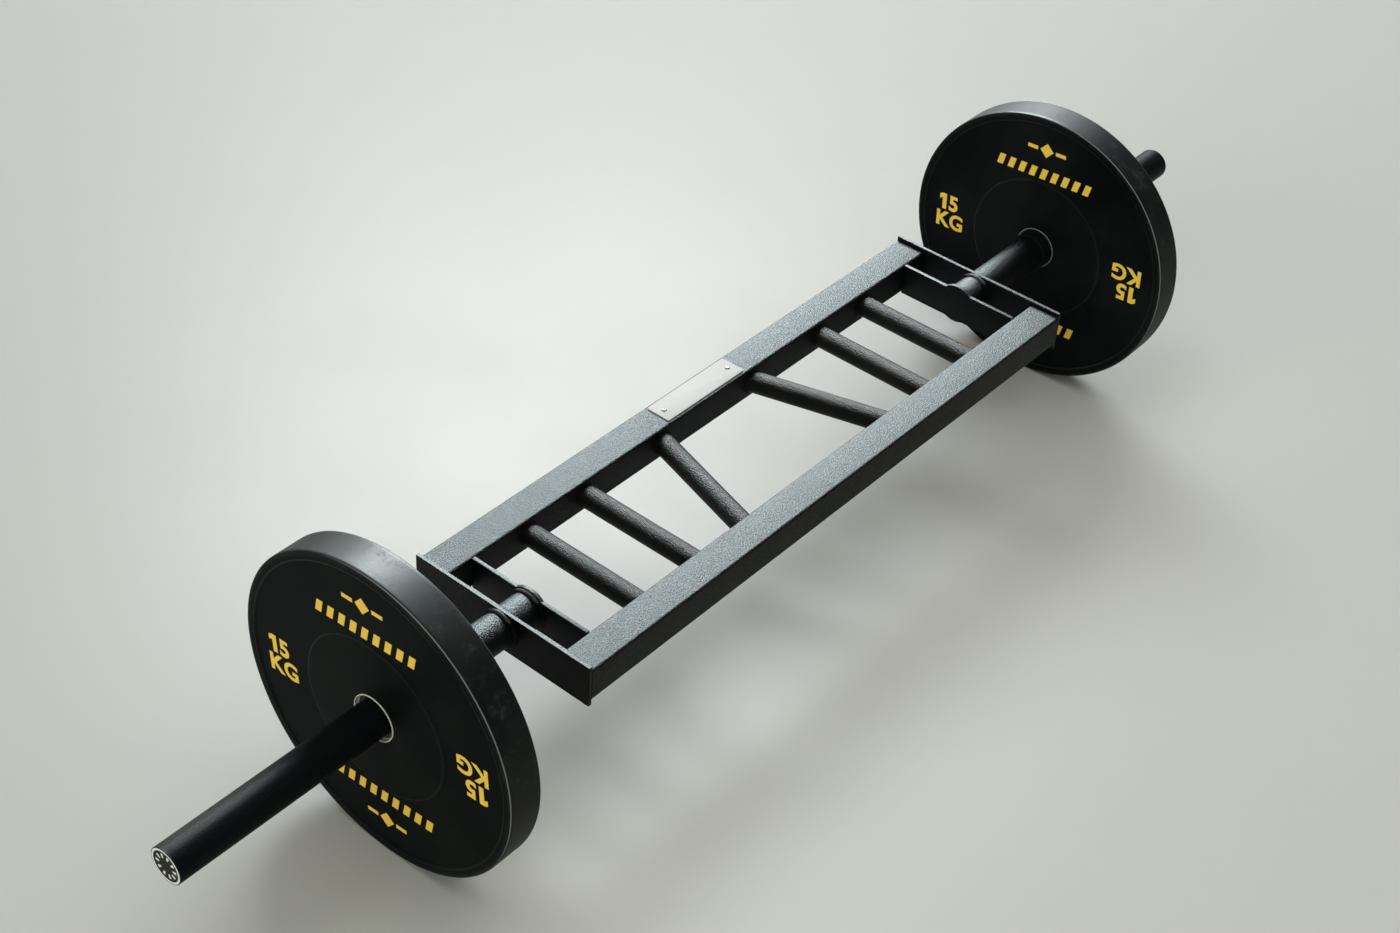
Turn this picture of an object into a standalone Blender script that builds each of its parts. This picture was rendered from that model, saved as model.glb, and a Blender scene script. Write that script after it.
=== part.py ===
"""A swiss bar loaded with two bumper plates, as an assembly of its separate pieces.

Metres, +Z up. The bar lies along X and stands on its plates, with the floor at Z = 0
and the origin midway between the plates. Left is -X, and the rear rail, which carries
the name plate, is at +Y.
"""
import math

import bmesh
import bpy
from mathutils import Matrix, Vector

MM = 0.001

# Running and assembly gaps between neighbouring solids
SEAT_GAP = 0.3 * MM
HUB_GAP = 0.3 * MM
SLEEVE_PLAY = 0.4 * MM

# Frame: two square tubes closed by flat end plates
FRAME_LENGTH = 1036 * MM
FRAME_WIDTH = 298 * MM
RAIL_SIZE = 50 * MM
RAIL_WALL = 3 * MM
RAIL_CORNER = 4 * MM
RAIL_CORNER_STEPS = 4
END_PLATE_HEIGHT = 64 * MM
END_PLATE_THICKNESS = 6 * MM
PLATE_EDGE = 0.8 * MM

# Cross plates: flat bar between the rails, with a round eye where the sleeve is welded on
CROSS_PLATE_INSET = 49.5 * MM
CROSS_PLATE_THICKNESS = 6 * MM
CROSS_PLATE_HEIGHT = 50 * MM
EYE_RADIUS = 31 * MM
EYE_FILLET = 6 * MM
EYE_STEPS = 14
FILLET_STEPS = 3

# Handles: round tube, four square to the rails and two leaning in a V
HANDLE_DIAMETER = 32 * MM
HANDLE_WALL = 3 * MM
OUTER_HANDLE_X = 363 * MM
INNER_HANDLE_X = 254.5 * MM
ANGLED_HANDLE_X = 127.5 * MM
ANGLED_HANDLE_LEAN = math.radians(16.6)
HANDLE_SIDES = 28

# Sleeves: one round tube a side, from the cross plate to the open end
OVERALL_LENGTH = 2076 * MM
SLEEVE_DIAMETER = 50 * MM
SLEEVE_WALL = 4 * MM
SLEEVE_RISE = 2.5 * MM
SLEEVE_SIDES = 40
CAP_FLANGE = 2 * MM
CAP_EDGE = 0.6 * MM
CAP_SPIGOT = 16 * MM
CAP_SPIGOT_GAP = 0.3 * MM

# Weld beads round the sleeve
WELD_LEG = 3.5 * MM
WELD_SIDES = 32

# Stop collars and bumper plates
PLATE_X = 680 * MM
PLATE_DIAMETER = 450 * MM
PLATE_THICKNESS = 50 * MM
PLATE_CORNER = 8 * MM
RIM_BAND = 13 * MM
WEB_DEPTH = 2 * MM
WEB_SLOPE = 2 * MM
BOSS_DIAMETER = 230 * MM
PLATE_SIDES = 72
PLATE_CORNER_STEPS = 3
COLLAR_DIAMETER = 60 * MM
COLLAR_WIDTH = 25 * MM
COLLAR_EDGE = 2 * MM

# Steel hubs that the plates are moulded on
HUB_DIAMETER = 66 * MM
HUB_PROUD = 1 * MM
HUB_LIP = 1 * MM
HUB_RECESS = 6 * MM
HUB_DRAFT = 0.5 * MM
HUB_SIDES = 48

# Name plate on the rear rail, held by two blind rivets
BADGE_LENGTH = 164 * MM
BADGE_WIDTH = 40 * MM
BADGE_THICKNESS = 1.5 * MM
BADGE_CORNER = 2 * MM
RIVET_SPACING = 137 * MM
RIVET_HEAD_DIAMETER = 7 * MM
RIVET_HEAD_HEIGHT = 1.4 * MM
RIVET_SHANK_DIAMETER = 4 * MM
RIVET_TAIL = 2.5 * MM
RIVET_SIDES = 20

# Places that follow from the sizes above. A plate stands on one flat of its faceted tread.
SLEEVE_RADIUS = SLEEVE_DIAMETER / 2
AXIS_Z = PLATE_DIAMETER / 2 * math.cos(math.pi / PLATE_SIDES)
RAIL_Z = AXIS_Z - SLEEVE_RISE
RAIL_Y = (FRAME_WIDTH - RAIL_SIZE) / 2
RAIL_INNER_Y = RAIL_Y - RAIL_SIZE / 2
FRAME_END_X = FRAME_LENGTH / 2
RAIL_END_X = FRAME_END_X - END_PLATE_THICKNESS
CROSS_PLATE_X = FRAME_END_X - CROSS_PLATE_INSET
SLEEVE_END_X = OVERALL_LENGTH / 2
WELD_RADIUS = SLEEVE_RADIUS + WELD_LEG
HUB_BORE = SLEEVE_RADIUS + SLEEVE_PLAY
SIDES = (("left", -1), ("right", 1))


def clear_scene():
    for obj in list(bpy.data.objects):
        bpy.data.objects.remove(obj, do_unlink=True)


def material(name, colour, roughness, metallic):
    made = bpy.data.materials.new(name)
    made.use_nodes = True
    shader = made.node_tree.nodes["Principled BSDF"]
    shader.inputs["Base Color"].default_value = (*colour, 1.0)
    shader.inputs["Roughness"].default_value = roughness
    shader.inputs["Metallic"].default_value = metallic
    return made


def add_object(name, bm, finish, smooth_angle=None):
    """Make an object from a bmesh, facing out, smooth below the given edge angle."""
    bmesh.ops.recalc_face_normals(bm, faces=bm.faces)
    mesh = bpy.data.meshes.new(name)
    bm.to_mesh(mesh)
    bm.free()
    if smooth_angle is not None:
        mesh.shade_smooth()
        mesh.set_sharp_from_angle(angle=math.radians(smooth_angle))
    mesh.materials.append(finish)
    obj = bpy.data.objects.new(name, mesh)
    bpy.context.collection.objects.link(obj)
    return obj


def add_bevel(obj, width, segments=1):
    bevel = obj.modifiers.new("edge", "BEVEL")
    bevel.width = width
    bevel.segments = segments
    bevel.limit_method = "ANGLE"
    bevel.angle_limit = math.radians(40)


def cut(obj, name, bm):
    """Take a closed shape out of an object."""
    cutter = add_object(name, bm, obj.data.materials[0])
    cutter.hide_render = True
    cutter.display_type = "WIRE"
    step = obj.modifiers.new(name, "BOOLEAN")
    step.operation = "DIFFERENCE"
    step.solver = "EXACT"
    step.object = cutter


def box(size, centre):
    bm = bmesh.new()
    bmesh.ops.create_cube(bm, size=1.0)
    bmesh.ops.scale(bm, vec=size, verts=bm.verts)
    bmesh.ops.translate(bm, vec=centre, verts=bm.verts)
    return bm


def arc(centre, radius, start, end, steps):
    """Points of an arc in a plane, with angles in degrees."""
    angles = [math.radians(start + (end - start) * i / steps) for i in range(steps + 1)]
    return [(centre[0] + radius * math.cos(a), centre[1] + radius * math.sin(a)) for a in angles]


def rounded_square(half_width, half_height, radius, steps):
    """Outline of a square tube's wall, as points in Y and Z."""
    points = []
    for sy, sz, start in ((1, 1, 0), (-1, 1, 90), (-1, -1, 180), (1, -1, 270)):
        corner = (sy * (half_width - radius), sz * (half_height - radius))
        points += arc(corner, radius, start, start + 90, steps)
    return points


def loop(bm, points):
    """Add a closed loop of edges through 3-D points."""
    verts = [bm.verts.new(p) for p in points]
    return [bm.edges.new((a, b)) for a, b in zip(verts, verts[1:] + verts[:1])]


def extrude_outline(bm, faces, offset):
    """Give a flat face, or a flat ring of faces, its thickness."""
    made = bmesh.ops.extrude_face_region(bm, geom=faces)["geom"]
    bmesh.ops.translate(bm, vec=offset, verts=[g for g in made if isinstance(g, bmesh.types.BMVert)])


def turned(profile, sides, side=1, closed=True):
    """Turn a profile of (x, radius) points about the sleeve's axis.

    The profile is a closed loop, or else an open line whose two ends lie on the axis.
    The first facet faces straight down. The shape is mirrored to -X for side = -1.
    """
    bm = bmesh.new()
    half_step = math.pi / sides
    out = Vector((0.0, math.sin(half_step), -math.cos(half_step)))
    verts = [bm.verts.new(Vector((side * x, 0.0, 0.0)) + out * r) for x, r in profile]
    pairs = zip(verts, verts[1:] + verts[:1]) if closed else zip(verts, verts[1:])
    edges = [bm.edges.new(pair) for pair in pairs]
    bmesh.ops.spin(bm, geom=verts + edges, cent=(0, 0, 0), axis=(1, 0, 0),
                   angle=2 * math.pi, steps=sides, use_merge=True)
    bmesh.ops.remove_doubles(bm, verts=bm.verts, dist=1e-6)
    bmesh.ops.translate(bm, vec=(0, 0, AXIS_Z), verts=bm.verts)
    return bm


def make_rails(finish):
    """Two hollow square tubes that butt against the end plates."""
    half_length = RAIL_END_X - SEAT_GAP
    outer = rounded_square(RAIL_SIZE / 2, RAIL_SIZE / 2, RAIL_CORNER, RAIL_CORNER_STEPS)
    bore = RAIL_SIZE / 2 - RAIL_WALL
    inner = rounded_square(bore, bore, max(RAIL_CORNER - RAIL_WALL, RAIL_CORNER / 4), RAIL_CORNER_STEPS)
    for name, y in (("front_rail", -RAIL_Y), ("rear_rail", RAIL_Y)):
        bm = bmesh.new()
        edges = []
        for outline in (outer, inner):
            edges += loop(bm, [(-half_length, y + py, RAIL_Z + pz) for py, pz in outline])
        ring = bmesh.ops.bridge_loops(bm, edges=edges)["faces"]
        extrude_outline(bm, ring, (2 * half_length, 0, 0))
        rail = add_object(name, bm, finish, smooth_angle=30)
        if y > 0:
            for side, sign in SIDES:
                x = sign * RIVET_SPACING / 2
                wall_z = RAIL_Z + RAIL_SIZE / 2 - RAIL_WALL / 2
                cut(rail, f"rail_rivet_hole_{side}", rivet_hole(x, wall_z, 2 * RAIL_WALL))


def make_end_plates(finish):
    """Flat bars that close the rails, bored for the sleeves."""
    for side, sign in SIDES:
        x = sign * (FRAME_END_X - END_PLATE_THICKNESS / 2)
        bm = box((END_PLATE_THICKNESS, FRAME_WIDTH, END_PLATE_HEIGHT), (x, 0, RAIL_Z))
        plate = add_object(f"end_plate_{side}", bm, finish)
        add_bevel(plate, PLATE_EDGE)
        near = FRAME_END_X - 2 * END_PLATE_THICKNESS
        far = FRAME_END_X + END_PLATE_THICKNESS
        radius = SLEEVE_RADIUS + SEAT_GAP
        bore = turned([(near, 0.0), (near, radius), (far, radius), (far, 0.0)], SLEEVE_SIDES, sign, closed=False)
        cut(plate, f"end_plate_bore_{side}", bore)


def eye_edge(rise):
    """Upper edge of a cross plate from +Y to -Y, with the eye's centre at Z = rise."""
    half_length = RAIL_INNER_Y - SEAT_GAP
    half_height = CROSS_PLATE_HEIGHT / 2
    fillet_z = half_height + EYE_FILLET
    fillet_y = math.sqrt((EYE_RADIUS + EYE_FILLET) ** 2 - (fillet_z - rise) ** 2)
    touch = math.degrees(math.atan2(fillet_z - rise, fillet_y))
    fillet = arc((fillet_y, fillet_z), EYE_FILLET, -90, touch - 180, FILLET_STEPS)[:-1]
    crown = arc((0, rise), EYE_RADIUS, touch, 180 - touch, EYE_STEPS)
    mirrored = [(-y, z) for y, z in reversed(fillet)]
    return [(half_length, half_height)] + fillet + crown + mirrored + [(-half_length, half_height)]


def eye_outline():
    """Outline of a cross plate in Y and Z about the rail's middle: a bar with a filleted round eye."""
    return eye_edge(SLEEVE_RISE) + [(-y, -z) for y, z in eye_edge(-SLEEVE_RISE)]


def make_cross_plates(finish):
    """Flat bars between the rails that the sleeves' inner ends are welded on."""
    for side, sign in SIDES:
        bm = bmesh.new()
        face = bm.faces.new([bm.verts.new((sign * CROSS_PLATE_X, y, RAIL_Z + z)) for y, z in eye_outline()])
        extrude_outline(bm, [face], (-sign * CROSS_PLATE_THICKNESS, 0, 0))
        add_object(f"cross_plate_{side}", bm, finish)


def make_handle(name, x, lean, finish):
    """A round tube whose ends are cut to lie flat on the rails' inner faces.

    A tube that leans by an angle is a square one, stretched in X and sheared along Y.
    """
    reach = RAIL_INNER_Y - SEAT_GAP
    bm = bmesh.new()
    radius = HANDLE_DIAMETER / 2
    edges = []
    for r in (radius, radius - HANDLE_WALL):
        ring = arc((0, 0), r, 0, 360, HANDLE_SIDES)[:-1]
        edges += loop(bm, [(px / math.cos(lean), -reach, pz) for px, pz in ring])
    ring = bmesh.ops.bridge_loops(bm, edges=edges)["faces"]
    extrude_outline(bm, ring, (0, 2 * reach, 0))
    shear = Matrix(((1, -math.tan(lean), 0, 0), (0, 1, 0, 0), (0, 0, 1, 0), (0, 0, 0, 1)))
    bmesh.ops.transform(bm, matrix=Matrix.Translation((x, 0, RAIL_Z)) @ shear, verts=bm.verts)
    add_object(name, bm, finish, smooth_angle=30)


def make_handles(finish):
    for side, sign in SIDES:
        make_handle(f"handle_outer_{side}", sign * OUTER_HANDLE_X, 0.0, finish)
        make_handle(f"handle_inner_{side}", sign * INNER_HANDLE_X, 0.0, finish)
        make_handle(f"handle_angled_{side}", sign * ANGLED_HANDLE_X, sign * ANGLED_HANDLE_LEAN, finish)


def make_sleeves(tube_finish, cap_finish):
    """The sleeve tubes, and the caps pressed into their open ends."""
    start = CROSS_PLATE_X + SEAT_GAP
    end = SLEEVE_END_X - CAP_FLANGE - SEAT_GAP
    bore = SLEEVE_RADIUS - SLEEVE_WALL
    flange_start = SLEEVE_END_X - CAP_FLANGE
    spigot = bore - CAP_SPIGOT_GAP
    for side, sign in SIDES:
        tube = [(start, bore), (start, SLEEVE_RADIUS), (end, SLEEVE_RADIUS), (end, bore)]
        add_object(f"sleeve_{side}", turned(tube, SLEEVE_SIDES, sign), tube_finish, smooth_angle=30)
        cap = [(flange_start - CAP_SPIGOT, 0.0), (flange_start - CAP_SPIGOT, spigot), (flange_start, spigot),
               (flange_start, SLEEVE_RADIUS), (SLEEVE_END_X - CAP_EDGE, SLEEVE_RADIUS),
               (SLEEVE_END_X, SLEEVE_RADIUS - CAP_EDGE), (SLEEVE_END_X, 0.0)]
        cap_body = turned(cap, SLEEVE_SIDES, sign, closed=False)
        add_object(f"sleeve_cap_{side}", cap_body, cap_finish, smooth_angle=30)


def make_welds(finish):
    """Fillet beads where the sleeve meets both faces of the end plate, and the cross plate."""
    inner = (SLEEVE_RADIUS + SEAT_GAP) / math.cos(math.pi / WELD_SIDES)
    seats = (("weld_outer", FRAME_END_X + SEAT_GAP, 1), ("weld_inner", RAIL_END_X - SEAT_GAP, -1),
             ("weld_cross", CROSS_PLATE_X + SEAT_GAP, 1))
    for side, sign in SIDES:
        for name, x, away in seats:
            bulge = 0.55 * WELD_LEG
            bead = [(x, inner), (x, WELD_RADIUS), (x + away * bulge, inner + bulge), (x + away * WELD_LEG, inner)]
            add_object(f"{name}_{side}", turned(bead, WELD_SIDES, sign), finish, smooth_angle=50)


def make_collars(finish):
    """Stop collars on the sleeves. Each one's end lies in the recess of a plate's hub, which rests on it."""
    end = PLATE_X - HUB_PROUD + HUB_RECESS - SEAT_GAP
    start = end - COLLAR_WIDTH
    radius = COLLAR_DIAMETER / 2
    bore = (SLEEVE_RADIUS + SEAT_GAP) / math.cos(math.pi / SLEEVE_SIDES)
    profile = [(start, bore), (start, radius - COLLAR_EDGE), (start + COLLAR_EDGE, radius),
               (end - COLLAR_EDGE / 2, radius), (end, radius - COLLAR_EDGE / 2), (end, bore)]
    for side, sign in SIDES:
        add_object(f"stop_collar_{side}", turned(profile, SLEEVE_SIDES, sign), finish, smooth_angle=40)


def plate_profile():
    """Half section of a bumper plate: raised rim and boss, a sunk web between them, and the hub's bore."""
    near, far = PLATE_X, PLATE_X + PLATE_THICKNESS
    radius = PLATE_DIAMETER / 2
    bore = (HUB_DIAMETER / 2 + HUB_GAP) / math.cos(math.pi / HUB_SIDES)
    boss = BOSS_DIAMETER / 2
    rim = radius - RIM_BAND
    web = [(near, bore), (near, boss), (near + WEB_DEPTH, boss + WEB_SLOPE),
           (near + WEB_DEPTH, rim - WEB_SLOPE), (near, rim)]
    corner = arc((near + PLATE_CORNER, radius - PLATE_CORNER), PLATE_CORNER, 180, 90, PLATE_CORNER_STEPS)
    half = web + corner
    return half + [(near + far - x, r) for x, r in reversed(half)]


def hub_profile():
    """Half section of a steel hub: a bush with a thin lip round a recess at both ends."""
    near, far = PLATE_X - HUB_PROUD, PLATE_X + PLATE_THICKNESS + HUB_PROUD
    radius = HUB_DIAMETER / 2
    wall = radius - HUB_LIP
    floor = near + HUB_RECESS
    half = [(floor, HUB_BORE), (floor, wall - HUB_DRAFT), (near, wall), (near, radius)]
    return half + [(near + far - x, r) for x, r in reversed(half)]


def make_plates(rubber, steel):
    """Bumper plates, each a rubber disc moulded on a steel hub. Their origins lie on the sleeve's axis."""
    middle = PLATE_X + PLATE_THICKNESS / 2
    for side, sign in SIDES:
        plate = add_object(f"bumper_{side}", turned(plate_profile(), PLATE_SIDES, sign), rubber, smooth_angle=35)
        hub = add_object(f"hub_{side}", turned(hub_profile(), HUB_SIDES, sign), steel, smooth_angle=35)
        for obj in (plate, hub):
            place = Vector((sign * middle, 0, AXIS_Z))
            obj.data.transform(Matrix.Translation(-place))
            obj.location = place


def rivet_hole(x, z, depth):
    """A square-ended cutter for one rivet's shank, down through the given height."""
    bm = bmesh.new()
    radius = RIVET_SHANK_DIAMETER / 2 + SEAT_GAP
    bmesh.ops.create_cone(bm, cap_ends=True, segments=RIVET_SIDES, radius1=radius, radius2=radius, depth=depth)
    bmesh.ops.translate(bm, vec=(x, RAIL_Y, z), verts=bm.verts)
    return bm


def make_badge(plate_finish, rivet_finish):
    """A bare name plate on top of the rear rail, with its two rivets."""
    bottom = RAIL_Z + RAIL_SIZE / 2 + SEAT_GAP
    outline = rounded_square(BADGE_LENGTH / 2, BADGE_WIDTH / 2, BADGE_CORNER, RAIL_CORNER_STEPS)
    bm = bmesh.new()
    face = bm.faces.new([bm.verts.new((px, RAIL_Y + py, bottom)) for px, py in outline])
    extrude_outline(bm, [face], (0, 0, BADGE_THICKNESS))
    badge = add_object("badge_plate", bm, plate_finish)
    seat = bottom + BADGE_THICKNESS + SEAT_GAP
    tail = bottom - SEAT_GAP - RAIL_WALL - RIVET_TAIL
    head = RIVET_HEAD_DIAMETER / 2
    shank = RIVET_SHANK_DIAMETER / 2
    profile = [(0.0, tail), (shank, tail), (shank, seat), (head, seat), (head, seat + 0.3 * RIVET_HEAD_HEIGHT),
               (0.6 * head, seat + 0.85 * RIVET_HEAD_HEIGHT), (0.0, seat + RIVET_HEAD_HEIGHT)]
    for side, sign in SIDES:
        x = sign * RIVET_SPACING / 2
        cut(badge, f"badge_rivet_hole_{side}", rivet_hole(x, bottom + BADGE_THICKNESS / 2, 3 * BADGE_THICKNESS))
        bm = bmesh.new()
        verts = [bm.verts.new((r, 0, z)) for r, z in profile]
        edges = [bm.edges.new(pair) for pair in zip(verts, verts[1:])]
        bmesh.ops.spin(bm, geom=verts + edges, cent=(0, 0, 0), axis=(0, 0, 1),
                       angle=2 * math.pi, steps=RIVET_SIDES, use_merge=True)
        bmesh.ops.remove_doubles(bm, verts=bm.verts, dist=1e-6)
        bmesh.ops.translate(bm, vec=(x, RAIL_Y, 0), verts=bm.verts)
        add_object(f"badge_rivet_{side}", bm, rivet_finish, smooth_angle=40)


def main():
    clear_scene()
    black_coat = material("black_coat", (0.022, 0.023, 0.025), 0.42, 0.0)
    black_grip = material("black_grip", (0.020, 0.020, 0.021), 0.5, 0.0)
    black_rubber = material("black_rubber", (0.018, 0.018, 0.018), 0.6, 0.0)
    black_cap = material("black_cap", (0.015, 0.015, 0.016), 0.5, 0.0)
    hub_steel = material("hub_steel", (0.62, 0.61, 0.58), 0.32, 1.0)
    badge_steel = material("badge_steel", (0.72, 0.70, 0.70), 0.35, 1.0)
    make_rails(black_coat)
    make_end_plates(black_coat)
    make_cross_plates(black_coat)
    make_handles(black_grip)
    make_sleeves(black_coat, black_cap)
    make_welds(black_coat)
    make_collars(black_coat)
    make_plates(black_rubber, hub_steel)
    make_badge(badge_steel, badge_steel)


main()
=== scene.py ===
"""A swiss bar with a rubber bumper plate on each sleeve: the finish of every surface.

Metres, +Z up, with the bar along X and the floor at Z = 0. Left is -X, and the rear rail is at +Y.
"""
import math

import bmesh
import bpy
from mathutils import Matrix, Vector


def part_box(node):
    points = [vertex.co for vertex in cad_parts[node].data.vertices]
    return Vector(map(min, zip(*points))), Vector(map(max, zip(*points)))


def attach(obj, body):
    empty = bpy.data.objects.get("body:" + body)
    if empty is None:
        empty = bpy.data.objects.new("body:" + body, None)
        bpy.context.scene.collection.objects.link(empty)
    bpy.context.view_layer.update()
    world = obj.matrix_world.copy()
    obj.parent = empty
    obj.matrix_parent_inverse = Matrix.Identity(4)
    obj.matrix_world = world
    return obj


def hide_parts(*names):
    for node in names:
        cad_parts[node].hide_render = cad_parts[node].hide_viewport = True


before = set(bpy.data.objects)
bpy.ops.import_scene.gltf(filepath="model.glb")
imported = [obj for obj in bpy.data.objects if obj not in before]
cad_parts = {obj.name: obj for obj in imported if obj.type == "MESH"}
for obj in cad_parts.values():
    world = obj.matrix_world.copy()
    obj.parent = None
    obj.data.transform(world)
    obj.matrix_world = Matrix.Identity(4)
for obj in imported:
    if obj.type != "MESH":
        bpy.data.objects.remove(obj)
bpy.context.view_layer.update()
bpy.ops.object.select_all(action="DESELECT")


# Rails: two 50 mm square steel tubes with 3 mm walls and rounded corners. The whole frame is
# sprayed with a textured black powder coat after welding, so one grain runs over every piece.
MM = 0.001
RAIL_CORNER = 4 * MM
RAIL_CORNER_STEPS = 6
COAT_BLACK = (0.0016, 0.0019, 0.0021, 1.0)
COAT_DUST = (0.012, 0.013, 0.014, 1.0)
COAT_TINT = (0.86, 0.97, 1.0, 1.0)
TOP_DUST_AND_SHEEN = (0.175, 0.178, 0.180, 1.0)
RAIL_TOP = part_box("rear_rail")[1][2]
PLUG_PLACE = (-98 * MM, 120 * MM)
PLUG_RADIUS = 7 * MM
PLUG_SEAM = (0.004, 0.004, 0.004, 1.0)


class Wire:
    """A value that a finish works out over a surface. Arithmetic on wires adds Math nodes."""

    def __init__(self, finish, socket):
        self.finish = finish
        self.socket = socket

    def _math(self, operation, *values):
        return self.finish.node("ShaderNodeMath", {"operation": operation}, values)

    def __add__(self, other):
        return self._math("ADD", self, other)

    __radd__ = __add__

    def __mul__(self, other):
        return self._math("MULTIPLY", self, other)

    __rmul__ = __mul__

    def __sub__(self, other):
        return self._math("SUBTRACT", self, other)

    def __rsub__(self, other):
        return self._math("SUBTRACT", other, self)

    def __pow__(self, other):
        return self._math("POWER", self, other)

    def __abs__(self):
        return self._math("ABSOLUTE", self)

    def sine(self):
        return self._math("SINE", self)

    def cosine(self):
        return self._math("COSINE", self)

    def angle_from(self, across):
        """The angle of a point that lies this far up and so far across."""
        return self._math("ARCTAN2", self, across)

    def rise(self, low, high):
        """0 below one value, 1 above another and smooth between them."""
        return self.finish.node("ShaderNodeMapRange", {"interpolation_type": "SMOOTHSTEP"},
                                [self, low, high, 0.0, 1.0])

    def band(self, middle, half_width, blur):
        """1 within a band of values, and 0 outside it."""
        return 1.0 - abs(self - middle).rise(half_width - blur, half_width + blur)


class Finish:
    """A material on the Principled shader, with the nodes that vary it over a surface."""

    def __init__(self, name, **constants):
        self.material = bpy.data.materials.new(name)
        self.material.use_nodes = True
        self.tree = self.material.node_tree
        self.shader = self.tree.nodes["Principled BSDF"]
        for socket, value in constants.items():
            self.shader.inputs[socket.replace("_", " ")].default_value = value
        self.place = self.node("ShaderNodeTexCoord", output="Object")

    def node(self, kind, settings=None, inputs=(), output=0):
        """Add a node: its settings first, then its inputs by place or by name."""
        made = self.tree.nodes.new(kind)
        for name, value in (settings or {}).items():
            setattr(made, name, value)
        pairs = inputs.items() if isinstance(inputs, dict) else enumerate(inputs)
        for key, value in pairs:
            if isinstance(value, Wire):
                self.tree.links.new(value.socket, made.inputs[key])
            else:
                made.inputs[key].default_value = value
        return Wire(self, made.outputs[output])

    def noise(self, per_metre, detail=2.0, roughness=0.5, stretch=None):
        """Cloudy grain of a given fineness, drawn out along the axes by stretch."""
        where = self.place
        if stretch:
            where = self.node("ShaderNodeMapping", {}, {"Vector": where, "Scale": stretch})
        return self.node("ShaderNodeTexNoise", {}, {"Vector": where, "Scale": per_metre,
                                                    "Detail": detail, "Roughness": roughness})

    def cells(self, per_metre):
        """How far each point is from the middle of its cell, in scattered cells."""
        return self.node("ShaderNodeTexVoronoi", {}, {"Vector": self.place, "Scale": per_metre},
                         "Distance")

    def axis(self, name):
        return self.node("ShaderNodeSeparateXYZ", {}, [self.place], name)

    def mix(self, amount, first, second):
        """A colour that goes from the first to the second as amount goes from 0 to 1."""
        return self.node("ShaderNodeMix", {"data_type": "RGBA"}, {0: amount, 6: first, 7: second}, 2)

    def set(self, socket, wire):
        self.tree.links.new(wire.socket, self.shader.inputs[socket])

    def recolour(self, amount, colour):
        """Lay a colour over the base colour set so far."""
        under = Wire(self, self.shader.inputs["Base Color"].links[0].from_socket)
        self.set("Base Color", self.mix(amount, under, colour))

    def bump(self, height, depth):
        """Raise the surface by height times depth, in metres."""
        self.set("Normal", self.node("ShaderNodeBump", {}, {"Distance": depth, "Height": height}))


def distance(across, up):
    return (across * across + up * up) ** 0.5


def powder_coat(name, grain_per_metre=560.0, grain_depth=1.15 * MM, roughness=0.50, dust=0.35,
                dust_colour=COAT_DUST, tint=COAT_TINT, shine=0.22):
    """Textured black powder coat: a fine orange-peel grain, faint dust and uneven gloss."""
    coat = Finish(name, Specular_IOR_Level=shine, IOR=1.45, Specular_Tint=tint)
    grain = coat.noise(grain_per_metre, 3.0, 0.68)
    pits = coat.cells(grain_per_metre * 0.8)
    cloud = coat.noise(9.0, 4.0, 0.55)
    specks = coat.noise(grain_per_metre * 1.7, 1.0).rise(0.58, 0.70)
    dusty = (cloud.rise(0.40, 0.75) * 0.55 + 0.45) * (specks * 0.75 + 0.25) * dust
    coat.set("Base Color", coat.mix(dusty, COAT_BLACK, dust_colour))
    coat.set("Roughness", roughness + (grain - 0.5) * 0.7 + (cloud - 0.5) * 0.10)
    coat.bump(grain * 0.75 + pits * 0.45, grain_depth)
    return coat


def lay_dust_and_sheen_on_top(coat, amount):
    """Pale dust in the grain of a rail's top face, which is also a painted sheen that lightens the whole
    top.
    """
    level = coat.axis("Z").rise(RAIL_TOP - 0.7 * MM, RAIL_TOP - 0.2 * MM)
    caught = coat.noise(520.0, 3.0, 0.70).rise(0.38, 0.62) * 0.60 + 0.40
    coat.recolour(level * caught * amount, TOP_DUST_AND_SHEEN)


# The front rail's top takes a stronger painted sheen than the rear rail's.
frame_coat = powder_coat("black_powder_coat")
lay_dust_and_sheen_on_top(frame_coat, 0.56)
rail_coat = powder_coat("rail_powder_coat")
lay_dust_and_sheen_on_top(rail_coat, 0.18)
from_plug = distance(rail_coat.axis("X") - PLUG_PLACE[0], rail_coat.axis("Y") - PLUG_PLACE[1])
plug_ring = from_plug.band(PLUG_RADIUS, 0.45 * MM, 0.35 * MM)
rail_top = rail_coat.axis("Z").rise(RAIL_TOP - 1 * MM, RAIL_TOP)
rail_coat.recolour(plug_ring * rail_top * 0.7, PLUG_SEAM)


def take(piece):
    """Make a piece the only one selected, and the active one."""
    bpy.ops.object.select_all(action="DESELECT")
    piece.select_set(True)
    bpy.context.view_layer.objects.active = piece


def open_new():
    """Settle a new primitive's place into its mesh, and open it in edit mode."""
    piece = bpy.context.object
    bpy.ops.object.transform_apply(location=True, rotation=True, scale=True)
    bpy.ops.object.mode_set(mode="EDIT")
    return piece


def pick(kind, test):
    """In edit mode, select only the faces, edges or vertices that pass a test."""
    bpy.ops.mesh.select_mode(type=kind)
    bpy.ops.mesh.select_all(action="DESELECT")
    mesh = bmesh.from_edit_mesh(bpy.context.object.data)
    for part in {"VERT": mesh.verts, "EDGE": mesh.edges, "FACE": mesh.faces}[kind]:
        if test(part):
            part.select_set(True)
    mesh.select_flush_mode()
    bmesh.update_edit_mesh(bpy.context.object.data)


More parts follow.
